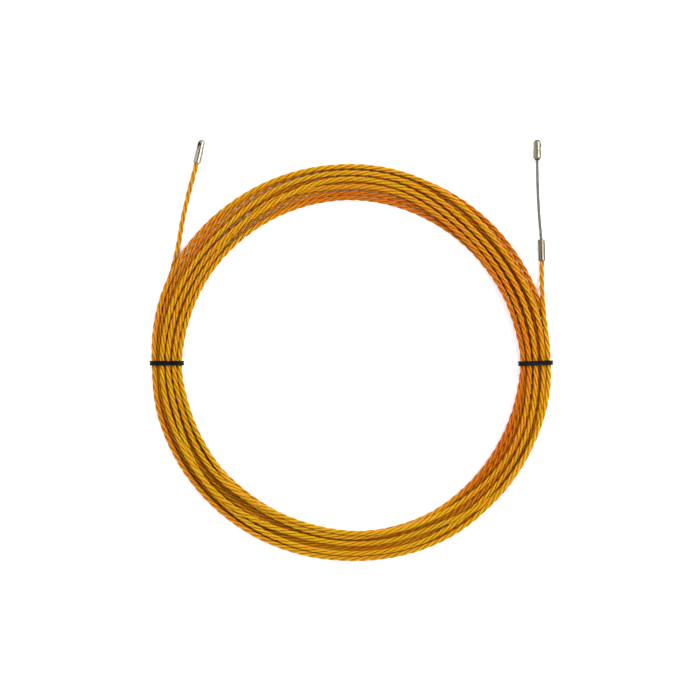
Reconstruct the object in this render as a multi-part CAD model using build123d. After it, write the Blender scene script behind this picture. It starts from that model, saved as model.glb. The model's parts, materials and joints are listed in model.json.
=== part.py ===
from build123d import *
import math
import os

# A coiled fish tape: twisted tape tied in a flat ring, with an eye terminal on one end
# and, on the other, a crimp sleeve, a flexible steel rope leader and a guide tip.
# Millimetres. The origin is the centre of the ring, on the surface that the coil lies on.
# +Z is up, +Y points the way both ends of the tape leave the ring, +X is the leader's side.

# ---------------------------------------------------------------- driving dimensions
tape_diameter = 4.0
tape_layers = 2              # layers of turns in the tied bundle
layer_play = 0.15            # slack between the layers

ring_outer_radius = 152.4
ring_inner_radius = 126.2
# how far the outer and the inner edge wander, every 30 degrees counter-clockwise from +X
edge_wander = [
    (0.5, 1.2), (0.1, -0.6), (-0.5, -2.2), (-0.7, -1.6),
    (0.8, -1.4), (1.9, 0.4), (0.5, 1.6), (0.0, 0.3),
    (-1.1, -1.3), (-1.9, 0.8), (0.4, 1.4), (1.2, 1.0),
]
tie_pinch = 0.7              # how far a tie draws each side of the bundle in
loose_height = 1.0           # how much higher the bundle stands half way between the ties
settled_lift = 0.05          # where its weight would leave less lift than this, it lies flat
ring_step = 10               # degrees between the ring's sections, a divisor of 180
bundle_corner = 2.2          # cut across each corner of the bundle's section
waist_margin = 0.4           # straight part of the bundle past each side of a tie

strap_width = 3.6
strap_thickness = 1.1
strap_clearance = 0.1
strap_corner = 2.4
tie_head_length = 5.8
tie_head_width = 5.2
tie_head_height = 2.9
tie_head_round = 0.9
tie_head_inset = 4.0         # from the middle of the bundle towards the ring's centre
tie_end_length = 2.6         # cut end of the strap past the head
tie_skew = {"tie_left": 0.0, "tie_right": 2.0}     # degrees about the vertical

terminal_diameter = 6.0
terminal_barrel = 10.2       # length of the barrel that grips the tape
terminal_length = 18.5
terminal_neck = 5.4
terminal_eye_height = 14.5   # eye's centre above the mouth
terminal_inset = 34.5        # mouth's place, in from the ring's outer edge along X
terminal_mouth_y = 152.6
terminal_heading = 13.0      # degrees from +Y towards +X
terminal_eye_roll = -45.0    # eye's direction from straight up, towards the right of the heading

eye_diameter = 3.4
groove_diameter = 2.6        # groove for the pulling cord, from the eye to the shoulder
groove_depth = 0.9
edge_break = 0.35
tape_grip = 8.0              # length of tape inside a fitting

sleeve_diameter = 5.5
sleeve_length = 16.3
sleeve_inset = 7.0
sleeve_mouth_y = 78.0
sleeve_heading = -1.8
rope_grip = 6.8              # length of rope inside a fitting

rope_diameter = 2.4
rope_length = 60.5           # free length between the sleeve and the guide tip
rope_heading_start = -5.9    # the rope bows from this heading to the next one
rope_heading_end = 0.0
flex_joints = 6              # bend and lift joints in turn along the rope
flex_gap = 0.7               # gap between two rope links

tip_diameter = 6.3
tip_barrel = 7.5
tip_length = 16.1
tip_neck = 5.8
tip_eye_height = 10.6
tip_cone = 2.0               # length of the cone behind the barrel
tip_eye_roll = 68.0

# Tape's free ends: each route runs from its fitting's mouth into the ring, as
# (distance in from the ring's outer edge along X, y, z).
left_route = [
    (28.6, 131.0, 2.9), (23.4, 109.0, 2.6), (20.1, 87.5, 2.4),
    (14.8, 67.0, 2.6), (9.0, 48.5, 3.4), (5.0, 30.5, 4.2),
]
right_route = [
    (7.3, 65.5, 3.4), (7.1, 52.5, 5.0), (6.0, 39.0, 6.6), (4.6, 26.0, 7.4),
]

# ---------------------------------------------------------------- derived sizes
layer_rise = tape_diameter * math.sqrt(3) / 2
bundle_height = tape_diameter + layer_rise * (tape_layers - 1) + layer_play
tie_lift = tie_head_height + strap_clearance      # the bundle rides over the tie's head
waist_half = max(strap_width, tie_head_width) / 2 + waist_margin
waist_angle = math.degrees(math.asin(waist_half / ring_inner_radius))
terminal_axis_height = terminal_diameter / 2
tip_axis_height = tip_diameter / 2
sleeve_axis_height = sleeve_diameter / 2
terminal_mouth = (terminal_inset - ring_outer_radius, terminal_mouth_y)
sleeve_mouth = (ring_outer_radius - sleeve_inset, sleeve_mouth_y)
cylinder_up = (Align.CENTER, Align.CENTER, Align.MIN)


def around(values, angle):
    """Smooth value at an angle in degrees, through values spread evenly round a circle."""
    step = 360 / len(values)
    index = math.floor(angle / step)
    t = angle / step - index
    a, b, c, d = (values[(index + k) % len(values)] for k in (-1, 0, 1, 2))
    return b + t * ((c - a) + t * ((2 * a - 5 * b + 4 * c - d) + t * (3 * (b - c) + d - a))) / 2


def ring_section(angle):
    """The bundle's outer radius, inner radius, underside and top at an angle round the ring."""
    from_tie = (angle + 90) % 180 - 90
    at_tie = abs(from_tie) < ring_step / 2
    pinch = tie_pinch if at_tie else 0
    outer = ring_outer_radius + around([wander[0] for wander in edge_wander], angle) - pinch
    inner = ring_inner_radius + around([wander[1] for wander in edge_wander], angle) + pinch
    away = 0 if at_tie else math.sin(math.radians(angle)) ** 2
    lift = (tie_lift + settled_lift) * (1 - away) ** 2 - settled_lift
    underside = max(0, lift)
    return outer, inner, underside, underside + bundle_height + loose_height * away


def section_wire(angle):
    """Rectangle with cut corners, standing across the ring at an angle."""
    outer, inner, low, high = ring_section(angle)
    cut = bundle_corner
    corners = [
        (inner + cut, low), (outer - cut, low), (outer, low + cut), (outer, high - cut),
        (outer - cut, high), (inner + cut, high), (inner, high - cut), (inner, low + cut),
    ]
    turn = math.radians(angle)
    points = [(r * math.cos(turn), r * math.sin(turn), z) for r, z in corners]
    return Wire.make_polygon([Vector(*p) for p in points], close=True)


def tape_coil():
    """The tied ring of turns as one closed solid of their outer shape."""
    between = range(ring_step, 180, ring_step)
    halves = []
    for tie in (0, 180):
        stations = [tie - waist_angle, tie + waist_angle, *(tie + angle for angle in between)]
        stations.append(tie + 180 - waist_angle)
        halves.append(Solid.make_loft([section_wire(angle) for angle in stations], ruled=True))
    return halves[0].fuse(halves[1]).clean()


def heading_vector(heading):
    turn = math.radians(heading)
    return Vector(math.sin(turn), math.cos(turn), 0)


def side_vector(heading):
    turn = math.radians(heading)
    return Vector(math.cos(turn), -math.sin(turn), 0)


def along(heading, mouth, height, roll=0.0):
    """Placement of a turned part: its axis along a heading, its eye rolled from upright."""
    tilt = math.radians(roll)
    eye = Vector(0, 0, math.cos(tilt)) + side_vector(heading) * math.sin(tilt)
    plane = Plane(origin=(*mouth, height), x_dir=eye, z_dir=heading_vector(heading))
    return plane.location


def nose_with_eye(barrel, length, neck, eye_height):
    """Round neck with a domed end and a cross hole, grooved from the hole to the shoulder."""
    neck_radius = neck / 2
    nose = Pos(0, 0, barrel) * Cylinder(neck_radius, length - barrel - neck_radius, align=cylinder_up)
    nose += Pos(0, 0, length - neck_radius) * Sphere(neck_radius)
    offset = neck_radius + groove_diameter / 2 - groove_depth
    for side in (-1, 1):
        groove = Cylinder(groove_diameter / 2, eye_height - barrel, align=cylinder_up)
        nose -= Pos(side * offset, 0, barrel) * groove
    nose -= Pos(0, 0, eye_height) * Rot(0, 90, 0) * Cylinder(eye_diameter / 2, 2 * neck)
    return nose


def eye_terminal():
    """Crimp barrel and eye in one turned piece."""
    barrel = Cylinder(terminal_diameter / 2, terminal_barrel, align=cylinder_up)
    barrel = chamfer(barrel.edges().filter_by(GeomType.CIRCLE), edge_break)
    body = barrel + nose_with_eye(
        terminal_barrel, terminal_length, terminal_neck, terminal_eye_height)
    body -= Cylinder(tape_diameter / 2, tape_grip, align=cylinder_up)
    return along(terminal_heading, terminal_mouth, terminal_axis_height, terminal_eye_roll) * body


def crimp_sleeve():
    """Plain sleeve that grips the tape at one end and the steel rope at the other."""
    body = Cylinder(sleeve_diameter / 2, sleeve_length, align=cylinder_up)
    body = chamfer(body.edges().filter_by(GeomType.CIRCLE), edge_break)
    body -= Cylinder(tape_diameter / 2, tape_grip, align=cylinder_up)
    body -= Pos(0, 0, sleeve_length - rope_grip) * Cylinder(
        rope_diameter / 2, rope_grip, align=cylinder_up)
    return along(sleeve_heading, sleeve_mouth, sleeve_axis_height) * body


def rope_point(distance):
    """Point and heading on the rope's shallow arc, a distance past the sleeve."""
    top = Vector(*sleeve_mouth, sleeve_axis_height) + heading_vector(sleeve_heading) * sleeve_length
    bow = rope_heading_end - rope_heading_start
    heading = rope_heading_start + bow * distance / rope_length
    chord_heading = (rope_heading_start + heading) / 2
    point = top + heading_vector(chord_heading) * distance
    rise = (tip_axis_height - sleeve_axis_height) * distance / rope_length
    return point + Vector(0, 0, rise), heading


def flex_distances():
    """Distances of the flex joints past the sleeve, evenly spread."""
    pitch = rope_length / flex_joints
    return [pitch * (k + 0.5) for k in range(flex_joints)]


def round_bar(start, end, diameter):
    """Straight round bar between two points."""
    plane = Plane(origin=start, z_dir=end - start)
    return plane.location * Cylinder(diameter / 2, (end - start).length, align=cylinder_up)


def rope_links():
    """The rope cut at each flex joint, its end links gripped in the sleeve and the guide tip."""
    pivots = [rope_point(d)[0] for d in flex_distances()]
    sleeve_end = rope_point(0)[0]
    tip_end, tip_heading = rope_point(rope_length)
    links = []
    for k in range(flex_joints + 1):
        start = pivots[k - 1] if k else sleeve_end
        end = pivots[k] if k < flex_joints else tip_end
        way = (end - start).normalized()
        if k:
            start = start + way * flex_gap / 2
        if k < flex_joints:
            end = end - way * flex_gap / 2
        links.append(round_bar(start, end, rope_diameter))
    sleeve_bottom = sleeve_end - heading_vector(sleeve_heading) * rope_grip
    tip_bottom = tip_end + heading_vector(tip_heading) * rope_grip
    links[0] += round_bar(sleeve_bottom, sleeve_end, rope_diameter)
    links[-1] += round_bar(tip_end, tip_bottom, rope_diameter)
    return links


def guide_tip():
    """Bullet-nosed tip with an eye, tapered towards the rope."""
    barrel = Pos(0, 0, tip_cone) * Cylinder(
        tip_diameter / 2, tip_barrel - tip_cone, align=cylinder_up)
    barrel = chamfer(barrel.edges().filter_by(GeomType.CIRCLE).sort_by(Axis.Z)[-1], edge_break)
    mouth_radius = rope_diameter / 2 + edge_break
    barrel += Cone(mouth_radius, tip_diameter / 2, tip_cone, align=cylinder_up)
    body = barrel + nose_with_eye(tip_barrel, tip_length, tip_neck, tip_eye_height)
    body -= Cylinder(rope_diameter / 2, rope_grip, align=cylinder_up)
    point, heading = rope_point(rope_length)
    return along(heading, (point.X, point.Y), tip_axis_height, tip_eye_roll) * body


def tape_tube(route, name):
    """Straight runs joined by the largest tangent arcs that fit, and its volume's check."""
    points = [Vector(*p) for p in route]
    radii = []
    for before, corner, after in zip(points, points[1:], points[2:]):
        turn = (corner - before).get_angle(after - corner)
        run = min((corner - before).length, (after - corner).length)
        radii.append(0.45 * run / math.tan(math.radians(turn / 2)))
    path = FilletPolyline(*points, radius=radii)
    section = Plane(origin=path @ 0, z_dir=path % 0) * Circle(tape_diameter / 2)
    tube = sweep(section, path=path)
    share = tube.volume / (path.length * math.pi * tape_diameter ** 2 / 4)
    print(name, "length", round(path.length, 1), "radii", [round(r) for r in radii],
          "volume over section times length", round(share, 4))
    return tube


def tape_tails(coil):
    """The free ends of the tape, from inside their fittings to the ring's surface."""
    tails = {}
    left = [(inset - ring_outer_radius, y, z) for inset, y, z in left_route]
    right = [(ring_outer_radius - inset, y, z) for inset, y, z in right_route]
    ends = {
        "tape_end_left": (left, terminal_mouth, terminal_heading, terminal_axis_height),
        "tape_end_right": (right, sleeve_mouth, sleeve_heading, sleeve_axis_height),
    }
    for name, (points, mouth, heading, height) in ends.items():
        entry = Vector(*mouth, height)
        inside = entry + heading_vector(heading) * tape_grip
        tube = tape_tube([tuple(entry), *points], name)
        gripped = round_bar(entry, inside, tape_diameter)
        outside = (tube - coil).solids().sort_by(SortBy.VOLUME)[-1]
        tails[name] = outside + gripped
    return tails


def cable_tie(angle, skew):
    """Strap round the bundle with a low head under it, moulded in one piece."""
    outer, inner, low, high = ring_section(angle)
    width = outer - inner + 2 * strap_clearance
    height = high - low + 2 * strap_clearance
    middle = (outer + inner) / 2
    loop = RectangleRounded(
        width + 2 * strap_thickness, height + 2 * strap_thickness, strap_corner + strap_thickness)
    loop -= RectangleRounded(width, height, strap_corner)
    strap = extrude(Plane.XZ * loop, amount=strap_width / 2, both=True)
    strap = Pos(0, 0, (low + high) / 2) * strap
    head = Box(tie_head_length, tie_head_width, tie_head_height, align=cylinder_up)
    head = fillet(head.edges().filter_by(Axis.Z), tie_head_round)
    stub = Box(tie_head_length / 2 + tie_end_length, strap_width, strap_thickness,
               align=(Align.MIN, Align.CENTER, Align.MIN))
    stub_height = (tie_head_height - 2 * strap_thickness) / 2
    tie = strap + Pos(-tie_head_inset, 0, 0) * head
    tie += Pos(-tie_head_inset, 0, stub_height) * stub
    return Rot(0, 0, angle) * Pos(middle, 0, 0) * Rot(0, 0, skew) * tie


# ---------------------------------------------------------------- build and write
coil = tape_coil()
parts = {
    "tape_coil": coil,
    **tape_tails(coil),
    "eye_terminal": eye_terminal(),
    "crimp_sleeve": crimp_sleeve(),
    "guide_tip": guide_tip(),
    "tie_left": cable_tie(180, tie_skew["tie_left"]),
    "tie_right": cable_tie(0, tie_skew["tie_right"]),
}
for number, link in enumerate(rope_links()):
    parts[f"leader_rope_{number}"] = link

for distance in flex_distances():
    pivot, heading = rope_point(distance)
    print("flex joint at", [round(v, 3) for v in pivot], "heading", round(heading, 2))
tip_base, tip_heading = rope_point(rope_length)
print("tip base", [round(v, 3) for v in tip_base])

os.makedirs("parts", exist_ok=True)
for name, shape in parts.items():
    export_step(shape, f"parts/{name}.step")
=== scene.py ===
import json
import math

import bpy
import numpy as np
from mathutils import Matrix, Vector


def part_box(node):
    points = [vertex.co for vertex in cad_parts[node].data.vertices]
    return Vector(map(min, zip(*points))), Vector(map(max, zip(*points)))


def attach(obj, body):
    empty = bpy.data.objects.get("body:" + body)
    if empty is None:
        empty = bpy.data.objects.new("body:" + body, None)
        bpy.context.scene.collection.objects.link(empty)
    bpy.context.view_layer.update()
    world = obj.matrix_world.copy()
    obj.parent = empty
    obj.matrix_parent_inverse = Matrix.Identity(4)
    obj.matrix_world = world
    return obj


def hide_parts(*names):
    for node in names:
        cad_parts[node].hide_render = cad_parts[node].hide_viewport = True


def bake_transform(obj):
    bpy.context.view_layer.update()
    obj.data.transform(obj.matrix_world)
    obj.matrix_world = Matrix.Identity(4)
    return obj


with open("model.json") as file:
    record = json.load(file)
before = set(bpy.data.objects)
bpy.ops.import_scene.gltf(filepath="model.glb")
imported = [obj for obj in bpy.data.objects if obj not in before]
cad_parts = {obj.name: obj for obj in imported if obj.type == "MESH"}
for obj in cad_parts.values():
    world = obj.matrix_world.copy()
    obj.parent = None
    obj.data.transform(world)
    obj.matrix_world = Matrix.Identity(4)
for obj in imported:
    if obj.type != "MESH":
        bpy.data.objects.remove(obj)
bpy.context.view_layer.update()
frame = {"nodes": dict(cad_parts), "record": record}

bl_info = {
    "name": "Coiled Fish Tape",
    "version": (1, 0, 0),
    "blender": (4, 5, 0),
    "location": "3D View > Sidebar > Fish Tape",
    "description": "Builds the visible pieces of a coiled fish tape round its CAD frame",
    "category": "Object",
}

MM = 0.001
TAU = 2 * math.pi

# Lengths below are in millimetres and angles in degrees, counter-clockwise from +X, unless a
# name or a comment says otherwise.

# The ring of turns, as the CAD model has it: mean radii, and how far its outer and its inner
# edge wander every 30 degrees.
RING_OUTER = 152.4
RING_INNER = 126.2
EDGE_WANDER = [
    (0.5, 1.2), (0.1, -0.6), (-0.5, -2.2), (-0.7, -1.6),
    (0.8, -1.4), (1.9, 0.4), (0.5, 1.6), (0.0, 0.3),
    (-1.1, -1.3), (-1.9, 0.8), (0.4, 1.4), (1.2, 1.0),
]
TIE_PINCH = 0.7          # how far a tie draws each edge of the bundle in
TIE_LIFT = 3.0           # the bundle lies this high on each tie's head
SETTLED_LIFT = 0.05      # taken off the lift, so that the bundle settles between the ties

# The ties: angles that they sit at and their skew, strap, head and cut end of the strap.
TIES = (("tie_left", 180.0, 0.0), ("tie_right", 0.0, 2.0))
BUNDLE_HEIGHT = 8.0
STRAP_WIDTH = 3.6
STRAP_THICKNESS = 1.1
STRAP_CLEARANCE = 0.1
STRAP_CORNER = 2.0
STRAP_EDGE = 0.42
STRAP_CHANNEL = 0.10
TIE_HEAD_INSET = 4.0
TIE_HEAD_SIZE = (5.8, 5.2, 2.88)
TIE_HEAD_MIDDLE = 1.45
TIE_HEAD_EDGE = 0.7
TIE_END_OFFSET = 2.75
TIE_END_SIZE = (5.4, 3.6, 1.08)
TIE_END_MIDDLE = 0.9
TIE_END_EDGE = 0.3

# How the turns lie.
HALF_TAPE = 2.0          # a turn's middle lies this far above the surface under it
TOUCH = 3.75             # distance between touching turns
EDGE_INSET = 1.45        # the edge turns' distance in from the bundle's edge
SIDE_TOUCH = 0.9         # least rise that counts as lying on a neighbour
SQUEEZE_RISE = 0.8       # most that every second turn of the lower layer is squeezed up
TIE_EASE = 1.1           # the upper turns draw in this far at a tie
TIE_ROOM = 3.55          # most that a turn's middle may rise above the lowest one's in a tie
ROOM_AWAY = 6.0          # further room away from the ties
ROUTE_SEED = 11
ROUTE_STEP = 10.0        # angle from one control point to the next
ROUTE_BASE = 152.0       # angle that each turn is counted from
ROUTE_START = 172.0      # the left end joins the ring here
ROUTE_END = 4.0          # the right end leaves the ring here
LOW_SHIFT = (92, 150)    # a lower turn steps inwards between these angles
HIGH_SHIFT = (20, 85)    # an upper turn steps outwards between these angles
CLIMB = (85, 130)        # the innermost lower turn climbs onto the others here
SETTLE_WIDTH = 8         # angle over which a turn's height is eased
LOW_TURNS = 7            # turns in the lower layer
LOW_MARGIN = 1.1         # its edge turns lie this much further in than the upper layer's
# Where two neighbours of the upper layer change over, as (slot, angle where they part, angle
# where they change back, angle that a change takes).
CROSSINGS = [
    (1, 192, 286, 52), (3, 206, 262, 50), (0, 296, 318, 38), (2, 92, 112, 34),
]

# The tape's free ends, as (distance in from the ring's outer edge along X, y, z), from each
# fitting's mouth into the ring. Headings turn from +Y towards +X.
LEFT_MOUTH = (34.5, 152.6, 3.0)
LEFT_HEADING = 13.0
LEFT_ROUTE = [
    (28.6, 131.0, 2.9), (23.4, 109.0, 2.6), (20.1, 87.5, 2.4),
    (14.8, 67.0, 2.6), (9.0, 48.5, 3.4), (5.0, 30.5, 4.2),
]
RIGHT_MOUTH = (7.0, 78.0, 2.75)
RIGHT_HEADING = -1.8
RIGHT_ROUTE = [
    (7.3, 65.5, 3.4), (7.1, 52.5, 5.2), (6.0, 39.0, 7.2), (4.6, 26.0, 8.2),
]
TAPE_GRIP = 7.0          # length of tape shown inside a fitting
SLEEVE_LENGTH = 16.3
SLEEVE_EXIT_HEADING = -5.9
ROPE_GRIP = 4.0          # length of rope shown inside a fitting
TIP_HEADING = 0.0

# How finely the strands are drawn.
TAPE_SIDES = 12
TAPE_STEPS_A_LAY = 16
WIRE_SIDES = 10
CORE_SIDES = 8
ROPE_STEPS_A_LAY = 40
ROPE_STRANDS = 6

# Tone of the tape, from gold (0) to deep orange (1), by where it lies: random scatter plus painted
# light and shade.
TONE_SEED = 5
KNOT_SPACING = 0.12      # metres of tape between the knots of its slow changes
TWIST_DRIFT = 0.16       # radians that the twist wanders from knot to knot
TONE_SCATTER = 0.10
# painted shade: deeper orange for the turns that lie low in the ring and for the strands' flanks
LOW_SHADE_TONE = 0.45          # for the turns that lie low in the ring
FLANK_SHADE_TONE = 0.55        # for the strands' flanks
WARM_TONE, WARM_ANGLE = 0.12, 40
LIT_TONE, UNLIT_TONE, LIT_ANGLE = -0.12, -0.42, 25
SHADED_TONE, SHADED_ANGLE = 0.8, -15


# ---------------------------------------------------------------- small helpers
def cubic(a, b, c, d, t):
    """Cubic from b (t = 0) to c (t = 1), whose slope at each is half the difference of its
    neighbours a and c, or b and d."""
    return b + t * ((c - a) + t * ((2 * a - 5 * b + 4 * c - d) + t * (3 * (b - c) + d - a))) / 2


def around(values, angles):
    """Smooth periodic curve through values spread evenly round a circle, read at angles."""
    values = np.asarray(values, float)
    place = np.asarray(angles, float) / (360 / len(values))
    index = np.floor(place).astype(int)
    a, b, c, d = (values[(index + k) % len(values)] for k in (-1, 0, 1, 2))
    return cubic(a, b, c, d, place - index)


def smooth_step(x):
    """Rises from 0 to 1 with level ends."""
    x = np.clip(x, 0, 1)
    return x * x * (3 - 2 * x)


def heading_vector(heading):
    """Unit vector (sin h, cos h, 0) along a heading h."""
    turn = math.radians(heading)
    return np.array([math.sin(turn), math.cos(turn), 0.0])


def unit(vectors):
    """The vectors, each divided by its length."""
    return vectors / np.linalg.norm(vectors, axis=-1, keepdims=True)


def spun(vertices, angle):
    """Vertices turned by an angle about Z."""
    turn = math.radians(angle)
    spin = np.array([
        [math.cos(turn), -math.sin(turn), 0], [math.sin(turn), math.cos(turn), 0], [0, 0, 1]])
    return vertices @ spin.T


def mouth_point(place, side):
    """A mouth or a point of a free end in the shared frame, from its distance in from the
    ring's outer edge, on the left (side -1) or the right (side 1)."""
    inset, y, z = place
    return np.array([side * (RING_OUTER - inset), y, z])


def new_object(name, vertices, quads, material, triangles=()):
    """Smooth shaded mesh object at the origin, of quads and triangles, with one material."""
    mesh = bpy.data.meshes.new(name)
    mesh.vertices.add(len(vertices))
    mesh.vertices.foreach_set("co", np.asarray(vertices, np.float32).ravel())
    corners = np.concatenate([np.ravel(quads), np.ravel(triangles)]).astype(np.int32)
    mesh.loops.add(len(corners))
    mesh.loops.foreach_set("vertex_index", corners)
    starts = np.concatenate([
        np.arange(len(quads)) * 4, len(quads) * 4 + np.arange(len(triangles)) * 3])
    mesh.polygons.add(len(starts))
    mesh.polygons.foreach_set("loop_start", starts.astype(np.int32))
    mesh.update(calc_edges=True)
    mesh.shade_smooth()
    mesh.materials.append(material)
    obj = bpy.data.objects.new(name, mesh)
    bpy.context.scene.collection.objects.link(obj)
    return obj


def point_attribute(obj, name, values):
    """One number for each vertex, for the material to read."""
    attribute = obj.data.attributes.new(name, "FLOAT", "POINT")
    attribute.data.foreach_set("value", np.asarray(values, np.float32))


def grid_faces(rows, columns):
    """Quads of a tube: rows of points along it, each row closed round it."""
    row, column = np.meshgrid(np.arange(rows - 1), np.arange(columns), indexing="ij")
    ahead = (column + 1) % columns
    quads = np.stack([
        row * columns + column, row * columns + ahead,
        (row + 1) * columns + ahead, (row + 1) * columns + column], axis=-1)
    return quads.reshape(-1, 4)


def tube_surface(path, out, radius, sides):
    """Round tube: at each point of the path, a circle of the radius in the plane square to the
    path, measured from the out direction. A rounded cap closes each end: two smaller rings at
    (lift, share) of the radius, and a pole. Returns the vertices, the quads, the triangles and
    the cosine of each vertex's angle from out."""
    tangent = unit(np.gradient(path, axis=0))
    out = unit(out - (out * tangent).sum(1, keepdims=True) * tangent)
    across = np.cross(tangent, out)
    lift = radius * np.array([0.85, 0.5])
    share = np.array([0.45, 0.85])
    last = len(path) - 1
    order = np.concatenate([[0, 0], np.arange(len(path)), [last, last]])
    centre = np.concatenate([
        path[[0, 0]] - tangent[[0, 0]] * lift[:, None], path,
        path[[last, last]] + tangent[[last, last]] * lift[::-1, None]])
    scale = np.concatenate([share, np.ones(len(path)), share[::-1]])
    beta = np.arange(sides) * TAU / sides
    ring = np.cos(beta)[None, :, None] * out[order][:, None, :]
    ring = ring + np.sin(beta)[None, :, None] * across[order][:, None, :]
    vertices = centre[:, None, :] + ring * (radius * scale)[:, None, None]
    rows = len(centre)
    pole_lift = radius * 0.12
    poles = np.array([centre[0] - tangent[0] * pole_lift, centre[-1] + tangent[-1] * pole_lift])
    column = np.arange(sides)
    ahead = (column + 1) % sides
    first_pole = rows * sides
    last_row = (rows - 1) * sides
    triangles = np.concatenate([
        np.stack([np.full(sides, first_pole), ahead, column], axis=-1),
        np.stack([np.full(sides, first_pole + 1), last_row + column, last_row + ahead], axis=-1)])
    outness = np.concatenate([np.tile(np.cos(beta), rows), [0.0, 0.0]])
    vertices = np.concatenate([vertices.reshape(-1, 3), poles])
    return vertices, grid_faces(rows, sides), triangles, outness


def tube_object(name, tubes, material):
    """One object of several tubes, with the attribute outness over them."""
    vertices, quads, triangles, outness, count = [], [], [], [], 0
    for path, out, radius, sides in tubes:
        points, tube_quads, tube_triangles, values = tube_surface(path, out, radius, sides)
        vertices.append(points)
        quads.append(tube_quads + count)
        triangles.append(tube_triangles + count)
        outness.append(values)
        count += len(points)
    obj = new_object(
        name, np.concatenate(vertices), np.concatenate(quads), material,
        np.concatenate(triangles))
    point_attribute(obj, "outness", np.concatenate(outness))
    return obj


# ---------------------------------------------------------------- sizes and colours
class FishTapeSizes(bpy.types.PropertyGroup):
    """Sizes of the visible tape and leader."""
    tape_diameter: bpy.props.FloatProperty(
        name="Tape diameter", description="Across the three twisted strands",
        default=0.004, unit="LENGTH")
    tape_length: bpy.props.FloatProperty(
        name="Tape length", description="Real length of the tape along its middle",
        default=10.31, unit="LENGTH")
    tape_lay: bpy.props.FloatProperty(
        name="Tape lay", description="Length of one full twist of the strands",
        default=0.0233, unit="LENGTH")
    tape_turns: bpy.props.IntProperty(
        name="Turns", description="Turns that pass under each tie", default=12)
    rope_diameter: bpy.props.FloatProperty(
        name="Leader rope diameter", description="Across the steel rope's outer strands",
        default=0.0024, unit="LENGTH")
    rope_lay: bpy.props.FloatProperty(
        name="Leader rope lay", description="Length of one full twist of the steel strands",
        default=0.0135, unit="LENGTH")


class FishTapeColours(bpy.types.PropertyGroup):
    """Colours of the finishes, as linear light."""
    tape_gold: bpy.props.FloatVectorProperty(
        name="Tape gold", description="Tape where light falls on it", subtype="COLOR",
        default=(0.345, 0.195, 0.0012), min=0, max=1)
    # tape orange stands for painted shade (low turns, the side away from the light, the strands'
    # flanks) and for the deep end of the random tone
    tape_orange: bpy.props.FloatVectorProperty(
        name="Tape orange", description="Tape seen through more of its depth", subtype="COLOR",
        default=(0.315, 0.092, 0.0006), min=0, max=1)
    # tape seam is the colour of the painted shade in the seams between the strands
    tape_seam: bpy.props.FloatVectorProperty(
        name="Tape seam", description="Depth of the seams between strands", subtype="COLOR",
        default=(0.235, 0.048, 0.0004), min=0, max=1)
    nickel: bpy.props.FloatVectorProperty(
        name="Nickel plate", description="Fittings", subtype="COLOR",
        default=(0.21, 0.19, 0.15), min=0, max=1)
    steel: bpy.props.FloatVectorProperty(
        name="Steel rope", description="Leader", subtype="COLOR",
        default=(0.085, 0.095, 0.083), min=0, max=1)
    nylon: bpy.props.FloatVectorProperty(
        name="Black nylon", description="Ties", subtype="COLOR",
        default=(0.001, 0.001, 0.0012), min=0, max=1)
    floor: bpy.props.FloatVectorProperty(
        name="Floor", description="Plain pale floor", subtype="COLOR",
        default=(0.95, 0.95, 0.95), min=0, max=1)


# ---------------------------------------------------------------- materials
def fresh_material(name):
    """A new node material; returns it, its nodes, its link function and its main shader."""
    material = bpy.data.materials.new(name)
    material.use_nodes = True
    tree = material.node_tree
    return material, tree.nodes, tree.links.new, tree.nodes["Principled BSDF"]


def noise_node(nodes, link, coordinates, scale, detail=2.0, roughness=0.5):
    """Noise of so many waves a metre."""
    noise = nodes.new("ShaderNodeTexNoise")
    noise.inputs["Scale"].default_value = scale
    noise.inputs["Detail"].default_value = detail
    noise.inputs["Roughness"].default_value = roughness
    link(coordinates, noise.inputs["Vector"])
    return noise.outputs["Fac"]


def range_node(nodes, link, value, low, high, to_low, to_high):
    """Value carried from low..high to to_low..to_high in a straight line, held at its ends."""
    node = nodes.new("ShaderNodeMapRange")
    limits = {"From Min": low, "From Max": high, "To Min": to_low, "To Max": to_high}
    for name, number in limits.items():
        node.inputs[name].default_value = number
    link(value, node.inputs["Value"])
    return node.outputs["Result"]


def mix_node(nodes, link, factor, first, second):
    """First colour where the factor is 0 and second colour where it is 1."""
    node = nodes.new("ShaderNodeMix")
    node.data_type = "RGBA"
    link(factor, node.inputs[0])
    for socket, value in ((node.inputs[6], first), (node.inputs[7], second)):
        if isinstance(value, tuple):
            socket.default_value = (*value, 1.0)
        else:
            link(value, socket)
    return node.outputs[2]


def math_node(nodes, link, operation, first, second):
    """Result of an operation on two values, each a number or a socket."""
    node = nodes.new("ShaderNodeMath")
    node.operation = operation
    for socket, value in zip(node.inputs, (first, second)):
        if isinstance(value, (int, float)):
            socket.default_value = value
        else:
            link(value, socket)
    return node.outputs[0]


def bump_node(nodes, link, height, strength, distance, shader):
    """Fine relief on a shader, from a height."""
    bump = nodes.new("ShaderNodeBump")
    bump.inputs["Strength"].default_value = strength
    bump.inputs["Distance"].default_value = distance
    link(height, bump.inputs["Height"])
    link(bump.outputs["Normal"], shader.inputs["Normal"])


def attribute_node(nodes, name):
    """A number that each vertex carries."""
    attribute = nodes.new("ShaderNodeAttribute")
    attribute.attribute_name = name
    return attribute.outputs["Fac"]


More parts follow.
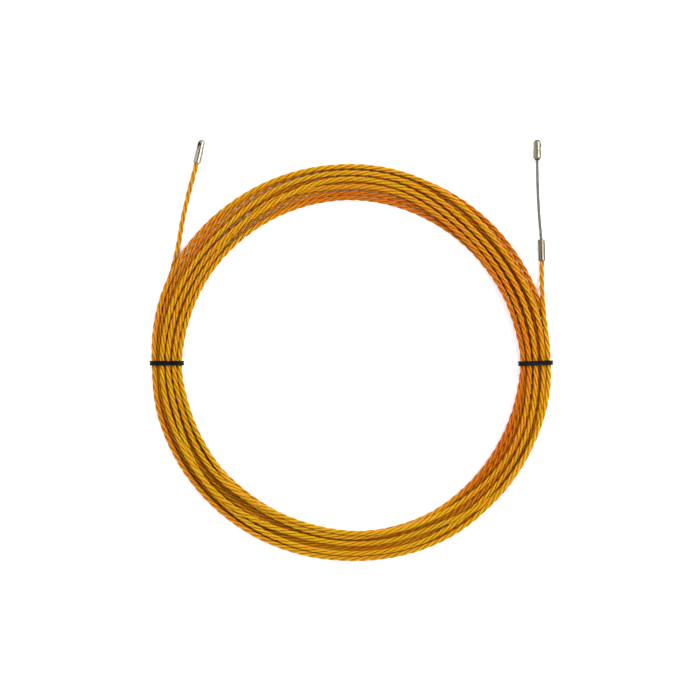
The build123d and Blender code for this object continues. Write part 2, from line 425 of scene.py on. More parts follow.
def tape_material(colours):
    """Soft, slightly see-through golden polyester with a fine grain. Its colour goes from gold
    over orange to the seams' deep red with the vertices' tone (random scatter plus painted light
    and shade) and slow noise, and it is deepest in the seams between the strands, where outness is
    low, as painted shade."""
    material, nodes, link, shader = fresh_material("polyester_tape")
    place = nodes.new("ShaderNodeTexCoord").outputs["Object"]
    depth = attribute_node(nodes, "outness")
    tone = attribute_node(nodes, "tone")
    gold, orange, seam = (
        tuple(c) for c in (colours.tape_gold, colours.tape_orange, colours.tape_seam))
    slow = math_node(nodes, link, "MULTIPLY", noise_node(nodes, link, place, 14.0), 0.7)
    mixed = math_node(nodes, link, "ADD", slow, tone)
    face = gold
    for low, high, deeper in ((0.2, 0.95, orange), (0.95, 1.9, seam)):
        share = range_node(nodes, link, mixed, low, high, 0.0, 1.0)
        face = mix_node(nodes, link, share, face, deeper)
    # painted shade: the seam colour where the strands meet, where outness is low
    seam_shade = range_node(nodes, link, depth, -0.6, 0.45, 1.0, 0.0)
    link(mix_node(nodes, link, seam_shade, face, seam), shader.inputs["Base Color"])
    grain = noise_node(nodes, link, place, 900.0, 3.0)
    link(range_node(nodes, link, grain, 0.3, 0.7, 0.24, 0.36), shader.inputs["Roughness"])
    shader.inputs["Specular IOR Level"].default_value = 0.08
    shader.inputs["Subsurface Weight"].default_value = 0.75
    shader.inputs["Subsurface Radius"].default_value = (1.0, 0.32, 0.04)
    shader.inputs["Subsurface Scale"].default_value = 0.0024
    bump_node(nodes, link, grain, 0.12, 0.0002, shader)
    return material


def nickel_material(name, colours, mouth, heading, nose, worn_share, brightness):
    """Nickel plate over turned brass: fine turning rings square to the fitting's axis, haze,
    brassy wear, and painted shade (a dark colour) wherever the surface dips below the nose's
    round, in the eye and the groove (nose is its radius and how far along the axis its dome
    starts, in metres). The mapping moves the mouth to the origin and turns the axis onto Y, so
    that the root of (x squared + z squared) is the distance from the axis."""
    material, nodes, link, shader = fresh_material(name)
    texture = nodes.new("ShaderNodeTexCoord")
    turn = math.radians(heading)
    mapping = nodes.new("ShaderNodeMapping")
    mapping.vector_type = "POINT"
    mapping.inputs["Rotation"].default_value = (0.0, 0.0, turn)
    mapping.inputs["Location"].default_value = (
        -(mouth[0] * math.cos(turn) - mouth[1] * math.sin(turn)),
        -(mouth[0] * math.sin(turn) + mouth[1] * math.cos(turn)), -mouth[2])
    link(texture.outputs["Object"], mapping.inputs["Vector"])
    local = nodes.new("ShaderNodeSeparateXYZ")
    link(mapping.outputs["Vector"], local.inputs[0])
    squares = [
        math_node(nodes, link, "MULTIPLY", local.outputs[axis], local.outputs[axis])
        for axis in ("X", "Z")]
    from_axis = math_node(nodes, link, "SQRT", math_node(nodes, link, "ADD", *squares), 0.0)
    radius, dome = nose
    recess = range_node(nodes, link, from_axis, radius - 0.0010, radius - 0.0002, 1.0, 0.0)
    before_dome = range_node(nodes, link, local.outputs["Y"], dome, dome + 0.0008, 1.0, 0.0)
    dark = math_node(nodes, link, "MULTIPLY", recess, before_dome)
    rings = nodes.new("ShaderNodeTexWave")
    rings.wave_type = "BANDS"
    rings.bands_direction = "Y"
    rings.inputs["Scale"].default_value = 2600.0
    rings.inputs["Distortion"].default_value = 2.5
    rings.inputs["Detail"].default_value = 2.0
    link(mapping.outputs["Vector"], rings.inputs["Vector"])
    haze = noise_node(nodes, link, texture.outputs["Object"], 260.0, 4.0, 0.6)
    plain = tuple(c * brightness for c in colours.nickel)
    worn = (plain[0] * 0.80, plain[1] * 0.66, plain[2] * 0.42)
    # painted shade for the eye and the groove, where the surface dips below the nose's round
    painted_recess_shade = (0.035, 0.026, 0.014)
    wear = range_node(
        nodes, link, haze, 0.62 - 0.3 * worn_share, 0.80 - 0.2 * worn_share, 0.0, 0.9)
    skin = mix_node(nodes, link, wear, plain, worn)
    link(mix_node(nodes, link, dark, skin, painted_recess_shade), shader.inputs["Base Color"])
    link(range_node(nodes, link, haze, 0.3, 0.75, 0.16, 0.34), shader.inputs["Roughness"])
    shader.inputs["Metallic"].default_value = 1.0
    bump_node(nodes, link, rings.outputs["Fac"], 0.06, 0.00005, shader)
    return material


def steel_material(colours):
    """Drawn steel wire with patches of grime, and painted shade where the strands meet."""
    material, nodes, link, shader = fresh_material("steel_rope")
    outness = attribute_node(nodes, "outness")
    place = nodes.new("ShaderNodeTexCoord").outputs["Object"]
    plain = tuple(colours.steel)
    dark = tuple(c * 0.16 for c in plain)
    # painted shade: the dark colour where the strands meet, where outness is low
    seam_shade = range_node(nodes, link, outness, -0.3, 0.75, 1.0, 0.0)
    face = mix_node(nodes, link, seam_shade, plain, dark)
    grime = noise_node(nodes, link, place, 700.0, 3.0)
    grimy = range_node(nodes, link, grime, 0.45, 0.75, 0.0, 0.5)
    link(mix_node(nodes, link, grimy, face, (0.20, 0.20, 0.15)), shader.inputs["Base Color"])
    link(range_node(nodes, link, grime, 0.3, 0.7, 0.30, 0.48), shader.inputs["Roughness"])
    shader.inputs["Metallic"].default_value = 1.0
    bump_node(nodes, link, noise_node(nodes, link, place, 2600.0, 2.0), 0.25, 0.0001, shader)
    return material


def nylon_material(colours):
    """Moulded black nylon: soft gloss, faint flow marks and a fine eggshell grain."""
    material, nodes, link, shader = fresh_material("black_nylon")
    place = nodes.new("ShaderNodeTexCoord").outputs["Object"]
    flow = noise_node(nodes, link, place, 240.0, 3.0)
    plain = tuple(colours.nylon)
    pale = tuple(c * 2.4 + 0.001 for c in plain)
    marked = range_node(nodes, link, flow, 0.4, 0.75, 0.0, 1.0)
    link(mix_node(nodes, link, marked, plain, pale), shader.inputs["Base Color"])
    link(range_node(nodes, link, flow, 0.3, 0.7, 0.34, 0.50), shader.inputs["Roughness"])
    shader.inputs["Specular IOR Level"].default_value = 0.07
    bump_node(nodes, link, noise_node(nodes, link, place, 2200.0, 2.0), 0.2, 0.0001, shader)
    return material


def floor_material(colours):
    """Plain pale matt floor."""
    material, _, _, shader = fresh_material("pale_floor")
    shader.inputs["Base Color"].default_value = (*colours.floor, 1.0)
    shader.inputs["Roughness"].default_value = 0.9
    return material


# ---------------------------------------------------------------- the tape's route
def tie_share(angles, full, gone):
    """Share that is 1 up to so far from a tie (at 0 and 180 degrees) and eases to 0."""
    from_tie = np.abs((np.asarray(angles) + 90) % 180 - 90)
    return 1 - smooth_step((from_tie - full) / (gone - full))


def near_tie(angles):
    """Share that is 1 at a tie and gone 12 degrees away."""
    return tie_share(angles, 0, 12)


def bundle_edges(angles):
    """Outer and inner radius of the bundle: mean radius + wander, drawn in by the ties."""
    outer, inner = (around(wander, angles) for wander in zip(*EDGE_WANDER))
    pinch = TIE_PINCH * near_tie(angles)
    return RING_OUTER + outer - pinch, RING_INNER + inner + pinch


def lift_height(angles):
    """Underside of the bundle: up on the ties' heads, and down on the surface between them."""
    level = np.cos(np.radians(angles)) ** 4
    return np.maximum(0, (TIE_LIFT + SETTLED_LIFT) * level - SETTLED_LIFT)


def slow_waves(angles, generator, strength, harmonics=7):
    """Positive share that wanders slowly round the ring: the exponential of a few low waves
    of random size and phase."""
    total = np.zeros(len(angles))
    for wave in range(1, harmonics + 1):
        size = generator.normal() / math.sqrt(wave)
        phase = generator.uniform(0, TAU)
        total += size * np.cos(wave * np.radians(angles) + phase)
    return np.exp(strength * total)


def slot_table(angles, generator, margins, unevenness, slots):
    """Places of the slots of one layer across the bundle, as distances in from its outer edge,
    and the radius of that edge.
    The first and the last slot lie the margins in from the edges. Neighbours are a touching
    distance apart plus their share of the slack, or closer where there is no slack."""
    outer, inner = bundle_edges(angles)
    span = outer - inner - 2 * EDGE_INSET - margins[0] - margins[1]
    shares = np.array([slow_waves(angles, generator, unevenness) for _ in range(slots - 1)])
    shares /= shares.sum(0)
    even = np.minimum(TOUCH, span / (slots - 1))
    gaps = even + np.maximum(span - (slots - 1) * TOUCH, 0) * shares
    first = (EDGE_INSET + margins[0])[None, :]
    return np.concatenate([first, first + np.cumsum(gaps, axis=0)]), outer


def window(angles, rise, full, fade, gone):
    """Share that is 1 between two angles and eases to 0 outside them."""
    rising = smooth_step((angles - rise) / (full - rise))
    return rising * (1 - smooth_step((angles - fade) / (gone - fade)))


def at_slot(table, place):
    """Distance in from the edge at a slot number between whole ones, by a straight line."""
    last = len(table) - 1
    place = np.clip(place, 0, last)
    lower = np.minimum(np.floor(place).astype(int), last - 1)
    t = place - lower
    columns = np.arange(table.shape[1])
    return table[lower, columns] * (1 - t) + table[lower + 1, columns] * t


def turn_places(turns, frac):
    """Slot number of each turn at each angle from the base (0 is the outermost slot). The lower
    turns step inwards one slot a turn, then the upper ones step outwards, and neighbours in
    the upper layer change places and back again at the crossings."""
    def passed(span):
        return smooth_step((frac - (span[0] - ROUTE_BASE) % 360) / (span[1] - span[0]))

    top = turns - LOW_TURNS - 1
    place = np.zeros((turns, len(frac)))
    for turn in range(LOW_TURNS):
        place[turn] = turn + (passed(LOW_SHIFT) if turn < LOW_TURNS - 1 else 0)
    for turn in range(LOW_TURNS, turns):
        place[turn] = top - (turn - LOW_TURNS) - passed(HIGH_SHIFT)
    for first_slot, leave, back, width in CROSSINGS:
        swap = passed((leave, leave + width)) * (1 - passed((back, back + width)))
        for turn in range(LOW_TURNS, turns):
            home = top - (turn - LOW_TURNS) - (1 if leave < ROUTE_BASE else 0)
            if home == first_slot:
                place[turn] += swap
            elif home == first_slot + 1:
                place[turn] -= swap
    return place, passed(CLIMB)


def turn_heights(turns, ring, place, inset, pitch):
    """Height of each turn's middle. A turn rests on the earlier ones: its height is the highest
    of (their height + root of touch squared less offset squared), up to the ceiling that the
    ties leave, which is returned too."""
    bed = lift_height(ring) + HALF_TAPE
    ceiling = bed + TIE_ROOM + ROOM_AWAY * (1 - tie_share(ring, 8, 22))
    # where the lower turns have no room side by side, every second one sits a little higher
    squeeze = np.minimum(np.sqrt(np.maximum(TOUCH ** 2 - pitch ** 2, 0)), SQUEEZE_RISE)
    height = np.zeros((turns, len(ring)))
    for turn in range(turns):
        odd = 1 - np.abs(np.mod(place[turn], 2) - 1) if turn < LOW_TURNS else 0
        level = bed + squeeze * odd
        for other in range(turn if turn >= LOW_TURNS - 1 else 0):
            offset = np.abs(inset[turn] - inset[other])
            rise = np.sqrt(np.maximum(TOUCH ** 2 - offset ** 2, 0))
            # where two neighbours only touch side by side, neither lifts the other
            level = np.maximum(level, np.where(rise > SIDE_TOUCH, height[other] + rise, bed))
        height[turn] = np.minimum(level, ceiling)
    return height, ceiling


def coil_route(turns):
    """Control points of the coil's middle line in millimetres, one every step of angle, from
    where the left end joins to where the right end leaves. The lower turns lie on the surface
    and the upper ones on them, and the innermost lower one climbs onto the others."""
    generator = np.random.default_rng(ROUTE_SEED)
    ring = np.arange(0, 360, 1.0)
    # the upper turns make the bundle's edges, except where the left end has yet to join and
    # where the innermost upper turn is missing
    low_margins = (LOW_MARGIN * (1 - 0.8 * window(ring, 108, 135, 156, 172)),
                   LOW_MARGIN * (1 - window(ring, 10, 30, 110, 140)))
    low_slots, outer = slot_table(ring, generator, low_margins, 0.15, LOW_TURNS)
    high_margins = tuple(
        0.12 * slow_waves(ring, generator, 0.5) + TIE_EASE * near_tie(ring) for _ in range(2))
    high_slots, _ = slot_table(ring, generator, high_margins, 0.9, turns - LOW_TURNS)

    frac = (ring - ROUTE_BASE) % 360
    place, climbed = turn_places(turns, frac)
    inset = np.array([
        at_slot(low_slots if turn < LOW_TURNS else high_slots, place[turn])
        for turn in range(turns)])
    innermost = LOW_TURNS - 1
    inset[innermost] = inset[innermost] * (1 - climbed) + high_slots[-1] * climbed
    pitch = (low_slots[-1] - low_slots[0]) / (LOW_TURNS - 1)
    height, ceiling = turn_heights(turns, ring, place, inset, pitch)

    # the turns one after another; a real tape can't follow each small step, so its height is
    # eased along it
    order = np.argsort(frac)
    line_inset, line_height = (values[:, order].ravel() for values in (inset, height))
    reach = 2 * SETTLE_WIDTH
    kernel = np.exp(-0.5 * (np.arange(-reach, reach + 1) / SETTLE_WIDTH) ** 2)
    kernel /= kernel.sum()
    line_height = np.convolve(np.pad(line_height, reach, mode="edge"), kernel, mode="valid")
    line_height = np.minimum(line_height, np.tile(ceiling[order], turns))

    first = ROUTE_START - ROUTE_BASE
    last = 360 * (turns - 1) + (ROUTE_END - ROUTE_BASE) % 360
    places = np.arange(first, last + 0.01, ROUTE_STEP)
    index = np.round(places).astype(int)
    angle = (places + ROUTE_BASE) % 360
    radius = np.interp(angle, ring, outer) - line_inset[index]
    # the curve passes inside its control points by this share
    radius /= 0.75 + 0.25 * math.cos(math.radians(ROUTE_STEP))
    turn = np.radians(angle)
    return np.stack([radius * np.cos(turn), radius * np.sin(turn), line_height[index]], axis=1)


def tape_route(turns):
    """The whole tape's control points in metres, from inside the left fitting to inside the
    right one, and the left fitting's mouth."""
    left = [mouth_point(mouth, -1) for mouth in (LEFT_MOUTH, *LEFT_ROUTE)]
    right = [mouth_point(mouth, 1) for mouth in (RIGHT_MOUTH, *RIGHT_ROUTE)]
    points = [left[0] + heading_vector(LEFT_HEADING) * TAPE_GRIP, *left]
    points += list(coil_route(turns))
    points += [*reversed(right), right[0] + heading_vector(RIGHT_HEADING) * TAPE_GRIP]
    return np.array(points) * MM, left[0] * MM


def spline_points(points):
    """Points read from a smooth NURBS spline that has the route's points as control points."""
    curve = bpy.data.curves.new("tape_route", "CURVE")
    curve.dimensions = "3D"
    spline = curve.splines.new("NURBS")
    spline.points.add(len(points) - 1)
    spline.points.foreach_set("co", np.column_stack([points, np.ones(len(points))]).ravel())
    spline.order_u = 3
    spline.use_endpoint_u = True
    spline.resolution_u = 16
    obj = bpy.data.objects.new("tape_route", curve)
    bpy.context.scene.collection.objects.link(obj)
    bpy.context.view_layer.update()
    mesh = bpy.data.meshes.new_from_object(obj)
    line = np.zeros(len(mesh.vertices) * 3)
    mesh.vertices.foreach_get("co", line)
    bpy.data.objects.remove(obj)
    bpy.data.curves.remove(curve)
    bpy.data.meshes.remove(mesh)
    return line.reshape(-1, 3)


def even_points(line, step):
    """The same line with points an even distance apart along it, and those distances."""
    runs = np.linalg.norm(np.diff(line, axis=0), axis=1)
    keep = np.concatenate([[True], runs > 1e-9])
    line = line[keep]
    distance = np.concatenate([[0], np.cumsum(np.linalg.norm(np.diff(line, axis=0), axis=1))])
    places = np.linspace(0, distance[-1], int(distance[-1] / step) + 1)
    even = [np.interp(places, distance, line[:, axis]) for axis in range(3)]
    return np.stack(even, axis=1), places


def lay_frame(line):
    """Sideways and upward directions along a line that never stands upright."""
    tangent = unit(np.gradient(line, axis=0))
    up = np.array([0.0, 0.0, 1.0])
    side = unit(np.cross(tangent, up))
    return side, np.cross(side, tangent)


def curve_through(points):
    """Curve through the points: a cubic piece between each two, of 24 steps."""
    padded = np.concatenate([
        [2 * points[0] - points[1]], points, [2 * points[-1] - points[-2]]])
    t = np.linspace(0, 1, 24, endpoint=False)[:, None]
    pieces = [cubic(*four, t) for four in zip(padded, padded[1:], padded[2:], padded[3:])]
    return np.concatenate([*pieces, points[-1:]])


def rounded_rectangle(width, height, corner, count):
    """Points evenly round a rectangle with rounded corners, and the outward normal at each:
    the four sides and the four quarter circles laid end to end, read at equal distances."""
    straight_x, straight_y = width - 2 * corner, height - 2 * corner
    arc = corner * math.pi / 2
    total = 2 * (straight_x + straight_y) + 4 * arc
    s = np.arange(count) * total / count
    x, y, nx, ny = (np.zeros(count) for _ in range(4))
    # length, way of a side, first angle of a quarter circle, its origin, normal of a side
    pieces = (
        (straight_x, (-1, 0), None, (straight_x / 2, height / 2), (0, 1)),
        (arc, None, 90, (-straight_x / 2, straight_y / 2), None),
        (straight_y, (0, -1), None, (-width / 2, straight_y / 2), (-1, 0)),
        (arc, None, 180, (-straight_x / 2, -straight_y / 2), None),
        (straight_x, (1, 0), None, (-straight_x / 2, -height / 2), (0, -1)),
        (arc, None, 270, (straight_x / 2, -straight_y / 2), None),
        (straight_y, (0, 1), None, (width / 2, -straight_y / 2), (1, 0)),
        (arc, None, 0, (straight_x / 2, straight_y / 2), None),
    )
    before = 0.0
    for run, way, first, origin, normal in pieces:
        here = (s >= before - 1e-9) & (s < before + run - 1e-9)
        t = s[here] - before
        if way is None:
            turn = math.radians(first) + t / corner
            nx[here], ny[here] = np.cos(turn), np.sin(turn)
            x[here] = origin[0] + corner * np.cos(turn)
            y[here] = origin[1] + corner * np.sin(turn)
        else:
            x[here], y[here] = origin[0] + way[0] * t, origin[1] + way[1] * t
            nx[here], ny[here] = normal
        before += run
    return np.stack([x, y], 1), np.stack([nx, ny], 1)


def strap_loop(bundle_width):
    """Closed strap round the bundle: a flat section with rounded edges and a shallow channel
    along its outer face, carried round a rounded rectangle. Vertices in millimetres in the
    tie's own frame (X across the bundle, Y along the tape), as a closed grid."""
    low, high = TIE_LIFT, TIE_LIFT + BUNDLE_HEIGHT
    grow = 2 * STRAP_CLEARANCE + STRAP_THICKNESS
    loop, normal = rounded_rectangle(
        bundle_width + grow, high - low + grow, STRAP_CORNER + STRAP_THICKNESS / 2, 240)
    section, _ = rounded_rectangle(STRAP_WIDTH, STRAP_THICKNESS, STRAP_EDGE, 48)
    along_y, out = section.T
    channel = np.exp(-(along_y / (0.28 * STRAP_WIDTH)) ** 4)
    out = np.where(out > 0, out - STRAP_CHANNEL * channel, out)
    x = loop[:, None, 0] + normal[:, None, 0] * out[None, :]
    z = loop[:, None, 1] + normal[:, None, 1] * out[None, :] + (low + high) / 2
    y = np.broadcast_to(along_y[None, :], x.shape)
    return np.stack([x, y, z], axis=-1)


def rounded_block(centre, size, edge):
    """Box with rounded edges: a stack of 20 rounded rectangles, each drawn in towards the top
    and the bottom by edge (1 - root of (1 - t squared)), where t goes from 0 to 1 over the
    edge's radius, and closed at a point at each end."""
    lift = np.linspace(-1, 1, 20)
    z = np.sign(lift) * np.abs(lift) ** (1 / 1.6) * size[2] / 2
    past = np.clip((np.abs(z) - (size[2] / 2 - edge)) / edge, 0, 1)
    draw = edge * (1 - np.sqrt(1 - past ** 2))
    outline, normal = rounded_rectangle(size[0], size[1], edge * 1.2, 64)
    grid = outline[None, :, :] - normal[None, :, :] * draw[:, None, None]
    heights = z[:, None, None] * np.ones((1, len(outline), 1))
    rings = np.concatenate([grid, heights], axis=-1)
    cap = np.ones((1, len(outline), 1)) * np.array([0.0, 0.0, 1.0])
    rings = np.concatenate([cap * z[0], rings, cap * z[-1]])
    return rings + np.array(centre)


def joined_grids(grids):
    """Vertices and quads of closed loops and of capped stacks of rings. A grid whose first
    ring is one point is a stack; any other closes on itself in both ways."""
    vertices, quads, count = [], [], 0
    for grid in grids:
        rows, columns = grid.shape[:2]
        stack = np.ptp(grid[0], axis=0).max() < 1e-6
        row, column = np.meshgrid(
            np.arange(rows - 1 if stack else rows), np.arange(columns), indexing="ij")
        next_row, next_column = (row + 1) % rows, (column + 1) % columns
        corners = [row * columns + column, row * columns + next_column,
                   next_row * columns + next_column, next_row * columns + column]
        if not stack:
            corners.reverse()
        quads.append(np.stack(corners, axis=-1).reshape(-1, 4) + count)
        vertices.append(grid.reshape(-1, 3))
        count += rows * columns
    return np.concatenate(vertices), np.concatenate(quads)


def tip_mouth():
    """Middle of the guide tip's rope end, in metres."""
    low, high = (np.array(corner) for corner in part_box("guide_tip"))
    return np.array([(low[0] + high[0]) / 2, low[1], (low[2] + high[2]) / 2])


# ---------------------------------------------------------------- operators
class FISHTAPE_OT_camera(bpy.types.Operator):
    """Camera that looks straight down on the coil"""
    bl_idname = "fishtape.camera"
    bl_label = "Camera"

    def execute(self, context):
        lens, sensor = 110.0, 36.0
        seen_width = 0.5334
        middle_height = 0.005
        camera = bpy.data.objects.new("camera", bpy.data.cameras.new("camera"))
        camera.data.lens = lens
        camera.data.sensor_width = sensor
        camera.data.clip_end = 20.0
        camera.location = (-0.0011, 0.0100, middle_height + seen_width * lens / sensor)
        context.scene.collection.objects.link(camera)
        context.scene.camera = camera
        return {"FINISHED"}


class FISHTAPE_OT_tape(bpy.types.Operator):
    """Three twisted strands of tape along the whole coiled route"""
    bl_idname = "fishtape.tape"
    bl_label = "Twisted tape"

    def execute(self, context):
        sizes, colours = context.scene.fishtape_sizes, context.scene.fishtape_colours
        route, exit_point = tape_route(sizes.tape_turns)
        line, places = even_points(spline_points(route), sizes.tape_lay / TAPE_STEPS_A_LAY)
        side, up = lay_frame(line)
        # three strands that touch: strand radius + distance of its middle = half the tape,
        # and that distance times the root of 3 = two strand radii
        half = sizes.tape_diameter / 2
        middle = half / (1 + math.sqrt(3) / 2)
        strand = half - middle
        generator = np.random.default_rng(TONE_SEED)
        knots = np.linspace(0, places[-1], int(places[-1] / KNOT_SPACING))
        drift = np.cumsum(generator.normal(0, TWIST_DRIFT, len(knots)))
        angle = TAU * places / sizes.tape_lay + np.interp(places, knots, drift)
        tone_knots = generator.normal(0, TONE_SCATTER, len(knots))
        tone_along = np.interp(places, knots, tone_knots) + self.tone_by_place(line, half)
        material = tape_material(colours)
        for number in range(3):
            turn = angle + number * TAU / 3
            out = np.cos(turn)[:, None] * side + np.sin(turn)[:, None] * up
            tubes = [(line + out * middle, out, strand, TAPE_SIDES)]
            obj = tube_object(f"tape_strand_{number + 1}", tubes, material)
            # each cap has two rings and a pole
            tone = np.repeat(np.pad(tone_along, 2, mode="edge"), TAPE_SIDES)
            tone = np.concatenate([tone, [0.0, 0.0]])
            # painted shade: the flanks take their light from the neighbouring turns, so their tone
            # is made deeper
            normals = np.zeros(len(tone) * 3, np.float32)
            obj.data.vertex_normals.foreach_get("vector", normals)
            tone += FLANK_SHADE_TONE * (1 - smooth_step(normals[2::3] / 0.75))
            point_attribute(obj, "tone", tone)
            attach(obj, "tied_tape")
        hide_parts("tape_coil", "tape_end_left", "tape_end_right")
        return {"FINISHED"}

    @staticmethod
    def tone_by_place(line, half):
        """Tone along the tape (line and half its width in metres), painted light and shade: deeper
        for the turns that lie low in the ring, for the side of the bundle that faces away from the
        lit angle, and for the inner edge on the right, which lies in shade; lighter for the side
        that faces the lit angle."""
        angle = np.arctan2(line[:, 1], line[:, 0])
        from_middle = np.hypot(line[:, 0], line[:, 1])
        bed = lift_height(np.degrees(angle)) * MM + half
        in_ring = 1 - smooth_step((from_middle - 0.1535) / 0.004)
        # painted shade on the turns that lie low in the ring
        tone = LOW_SHADE_TONE * in_ring * (1 - smooth_step((line[:, 2] - bed) / 0.0036))
        tone += WARM_TONE * np.cos(angle - math.radians(WARM_ANGLE))
        # from -1 at the bundle's inner edge to 1 at its outer one, and close to 0 between them
        middle_radius = (RING_OUTER + RING_INNER) / 2 * MM
        edge = np.clip((from_middle - middle_radius) / 0.0105, -1, 1) ** 3
        facing = edge * np.cos(angle - math.radians(LIT_ANGLE))
        tone += np.where(facing < 0, UNLIT_TONE, LIT_TONE) * facing
        shaded = np.maximum(np.cos(angle - math.radians(SHADED_ANGLE)), 0) ** 4
        return tone + SHADED_TONE * np.maximum(-edge, 0) * shaded


class FISHTAPE_OT_leader(bpy.types.Operator):
    """Steel rope leader, one stretch across each flex joint"""
    bl_idname = "fishtape.leader"
    bl_label = "Steel leader"

    def execute(self, context):
        sizes, colours = context.scene.fishtape_sizes, context.scene.fishtape_colours
        material = steel_material(colours)
        joints = [
            j for j in frame["record"]["behaviour"]["joints"] if j["name"].startswith("leader")]
        pivots = np.array([j["pos_m"] for j in joints])
        start = mouth_point(RIGHT_MOUTH, 1) * MM
        start += heading_vector(RIGHT_HEADING) * SLEEVE_LENGTH * MM
        finish = tip_mouth()
        inside_start = start - heading_vector(SLEEVE_EXIT_HEADING) * ROPE_GRIP * MM
        inside_finish = finish + heading_vector(TIP_HEADING) * ROPE_GRIP * MM
        line = curve_through(np.array([inside_start, start, *pivots, finish, inside_finish]))
        line, places = even_points(line, sizes.rope_lay / ROPE_STEPS_A_LAY)
        side, up = lay_frame(line)
        half = sizes.rope_diameter / 2
        # six wires round a seventh, each a little wider than a third of the rope's radius
        wire = half / 3 * 1.04
        middle = half - wire
        # each stretch ends halfway between two pivots and overlaps the next by a hair
        marks = [float(places[np.argmin(((line - p) ** 2).sum(1))]) for p in pivots]
        cuts = [0.0, *[(a + b) / 2 for a, b in zip(marks, marks[1:])], float(places[-1])]
        overlap = 0.00004
        for number, joint in enumerate(joints):
            low = int(np.searchsorted(places, cuts[number] - overlap))
            high = int(np.searchsorted(places, cuts[number + 1] + overlap))
            part = slice(low, high + 1)
            tubes = [(line[part], side[part], wire * 0.98, CORE_SIDES)]
            for strand in range(ROPE_STRANDS):
                turn = TAU * places[part] / sizes.rope_lay + strand * TAU / ROPE_STRANDS
                out = np.cos(turn)[:, None] * side[part] + np.sin(turn)[:, None] * up[part]
                tubes.append((line[part] + out * middle, out, wire, WIRE_SIDES))
            obj = tube_object(f"leader_stretch_{number + 1}", tubes, material)
            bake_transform(obj)
            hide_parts(f"leader_rope_{number}",
                        *([f"leader_rope_{number + 1}"] if number == 5 else []))
        return {"FINISHED"}


class FISHTAPE_OT_fittings(bpy.types.Operator):
    """Nickel plate on the eye terminal, the crimp sleeve and the guide tip"""
    bl_idname = "fishtape.fittings"
    bl_label = "Metal fittings"

    def execute(self, context):
        colours = context.scene.fishtape_colours
        left, right = mouth_point(LEFT_MOUTH, -1) * MM, mouth_point(RIGHT_MOUTH, 1) * MM
        # name, mouth, heading, nose radius and where its dome starts, share of wear, brightness
        # (painted shade: below 1 it darkens that fitting's copy of the nickel)
        fittings = (
            ("eye_terminal", left, LEFT_HEADING, (0.0027, 0.0158), 0.1, 1.0),
            ("crimp_sleeve", right, RIGHT_HEADING, (0.0023, 0.0200), 0.45, 0.45),
            ("guide_tip", tip_mouth(), TIP_HEADING, (0.0029, 0.0132), 0.75, 0.7),
        )
        for node, mouth, heading, nose, worn_share, brightness in fittings:
            material = nickel_material(
                f"nickel_{node}", colours, mouth, heading, nose, worn_share, brightness)
            for slot in frame["nodes"][node].material_slots:
                slot.material = material
        return {"FINISHED"}


class FISHTAPE_OT_ties(bpy.types.Operator):
    """Black nylon ties: a strap with rounded edges round the bundle, its head below"""
    bl_idname = "fishtape.ties"
    bl_label = "Ties"

    def execute(self, context):
        material = nylon_material(context.scene.fishtape_colours)
        for node, angle, skew in TIES:
            outer, inner = bundle_edges(angle)
            parts = [
                strap_loop(outer - inner),
                rounded_block((-TIE_HEAD_INSET, 0, TIE_HEAD_MIDDLE), TIE_HEAD_SIZE, TIE_HEAD_EDGE),
                rounded_block(
                    (TIE_END_OFFSET - TIE_HEAD_INSET, 0, TIE_END_MIDDLE), TIE_END_SIZE,
                    TIE_END_EDGE),
            ]
            vertices, quads = joined_grids(parts)
            vertices = spun(vertices, skew) + np.array([(outer + inner) / 2, 0, 0])
            obj = new_object(f"{node}_band", spun(vertices, angle) * MM, quads, material)
            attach(obj, "tied_tape")
            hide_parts(node)
        return {"FINISHED"}


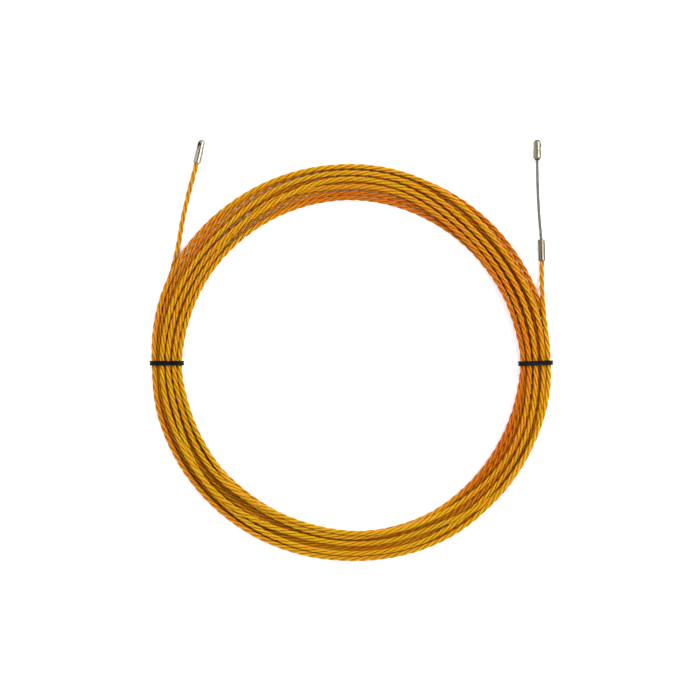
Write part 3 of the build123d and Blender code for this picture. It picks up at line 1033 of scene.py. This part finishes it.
class FISHTAPE_OT_stage(bpy.types.Operator):
    """Pale floor, soft lights and a pale surround"""
    bl_idname = "fishtape.stage"
    bl_label = "Stage"

    def execute(self, context):
        half = 4.0
        corners = [(-half, -half, 0), (half, -half, 0), (half, half, 0), (-half, half, 0)]
        material = floor_material(context.scene.fishtape_colours)
        floor = new_object("floor", corners, [(0, 1, 2, 3)], material)
        world = bpy.data.worlds.new("surround")
        world.use_nodes = True
        background = world.node_tree.nodes["Background"]
        background.inputs["Color"].default_value = (1.0, 1.0, 1.0, 1.0)
        background.inputs["Strength"].default_value = 0.26
        context.scene.world = world
        context.scene.view_settings.view_transform = "Standard"
        self.panel_light("key_right", (1.05, 0.42, 1.2), 1.4, 60.0, (1.0, 0.99, 0.97))
        self.panel_light("fill_left", (-1.5, 0.1, 1.2), 2.2, 34.0)
        self.panel_light("fill_back", (-0.1, 1.7, 1.1), 1.4, 19.0)
        self.panel_light("fill_front", (-0.4, -1.6, 1.2), 1.6, 30.0)
        return {"FINISHED"}

    @staticmethod
    def panel_light(name, place, size, power, colour=(1.0, 1.0, 1.0)):
        """Square soft light of a size in metres and a power in watts that faces the coil."""
        light = bpy.data.lights.new(name, "AREA")
        light.size = size
        light.energy = power
        light.color = colour
        obj = bpy.data.objects.new(name, light)
        bpy.context.scene.collection.objects.link(obj)
        obj.location = place
        obj.rotation_euler = (-Vector(place)).to_track_quat("-Z", "Y").to_euler()


class FISHTAPE_PT_panel(bpy.types.Panel):
    """Lists the pieces"""
    bl_idname = "FISHTAPE_PT_panel"
    bl_label = "Fish Tape"
    bl_space_type = "VIEW_3D"
    bl_region_type = "UI"
    bl_category = "Fish Tape"

    def draw(self, context):
        for operator in OPERATORS:
            self.layout.operator(operator.bl_idname)
        for group in (context.scene.fishtape_sizes, context.scene.fishtape_colours):
            column = self.layout.column()
            for name in group.__annotations__:
                column.prop(group, name)


OPERATORS = (
    FISHTAPE_OT_camera, FISHTAPE_OT_tape, FISHTAPE_OT_leader,
    FISHTAPE_OT_fittings, FISHTAPE_OT_ties, FISHTAPE_OT_stage,
)
CLASSES = (FishTapeSizes, FishTapeColours, *OPERATORS, FISHTAPE_PT_panel)


def register():
    for item in CLASSES:
        bpy.utils.register_class(item)
    bpy.types.Scene.fishtape_sizes = bpy.props.PointerProperty(type=FishTapeSizes)
    bpy.types.Scene.fishtape_colours = bpy.props.PointerProperty(type=FishTapeColours)


def unregister():
    del bpy.types.Scene.fishtape_sizes
    del bpy.types.Scene.fishtape_colours
    for item in reversed(CLASSES):
        bpy.utils.unregister_class(item)


def main():
    register()
    for operator in OPERATORS:
        group, name = operator.bl_idname.split(".")
        getattr(getattr(bpy.ops, group), name)()


if __name__ == "__main__":
    main()
